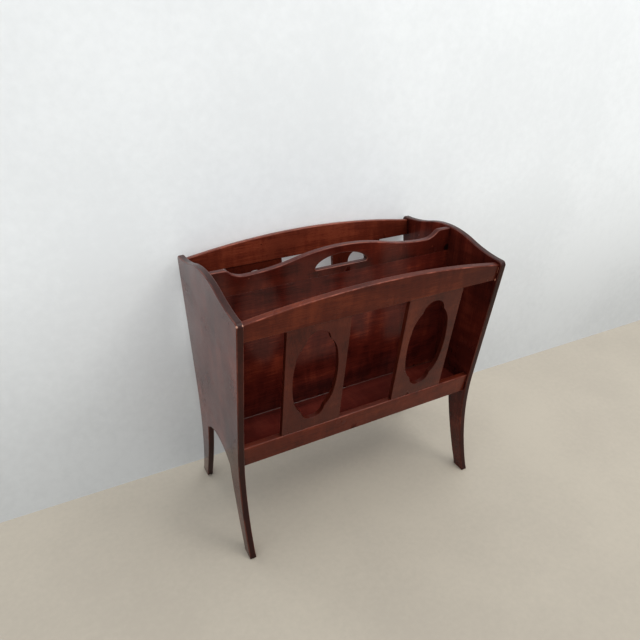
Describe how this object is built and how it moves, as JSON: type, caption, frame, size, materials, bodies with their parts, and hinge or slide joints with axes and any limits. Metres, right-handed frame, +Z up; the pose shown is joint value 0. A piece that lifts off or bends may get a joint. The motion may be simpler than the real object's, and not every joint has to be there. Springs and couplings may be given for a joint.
{
  "type": "magazine rack",
  "caption": "Free-standing wooden magazine rack with two pockets, a pierced front and back, swept legs and a centre divider shaped as a carrying handle.",
  "frame": {"origin": "middle of the rack on the floor, at the height of the soles of the feet", "axes": "+X along the rack from the left end panel to the right one, +Y from the front to the back, +Z up"},
  "size_m": [0.513, 0.3004, 0.527],
  "materials": {
    "mahogany": "glossy varnish",
    "panel_mahogany": "glossy varnish",
    "dowel_wood": "bare",
    "block_wood": "bare",
    "screw_steel": "plain"
  },
  "bodies": {
    "root": {"left_end_panel": "panel_mahogany", "right_end_panel": "panel_mahogany", "front_top_rail": "mahogany", "back_top_rail": "mahogany", "front_bottom_rail": "mahogany", "back_bottom_rail": "mahogany", "front_left_splat": "mahogany", "front_right_splat": "mahogany", "back_left_splat": "mahogany", "back_right_splat": "mahogany", "divider_handle_board": "mahogany", "divider_lower_board": "mahogany", "bottom_board": "mahogany", "front_top_rail_dowels": "dowel_wood", "back_top_rail_dowels": "dowel_wood", "front_bottom_rail_dowels": "dowel_wood", "back_bottom_rail_dowels": "dowel_wood", "front_glue_blocks": "block_wood", "back_glue_blocks": "block_wood", "divider_screws": "screw_steel"}
  },
  "joints": []
}
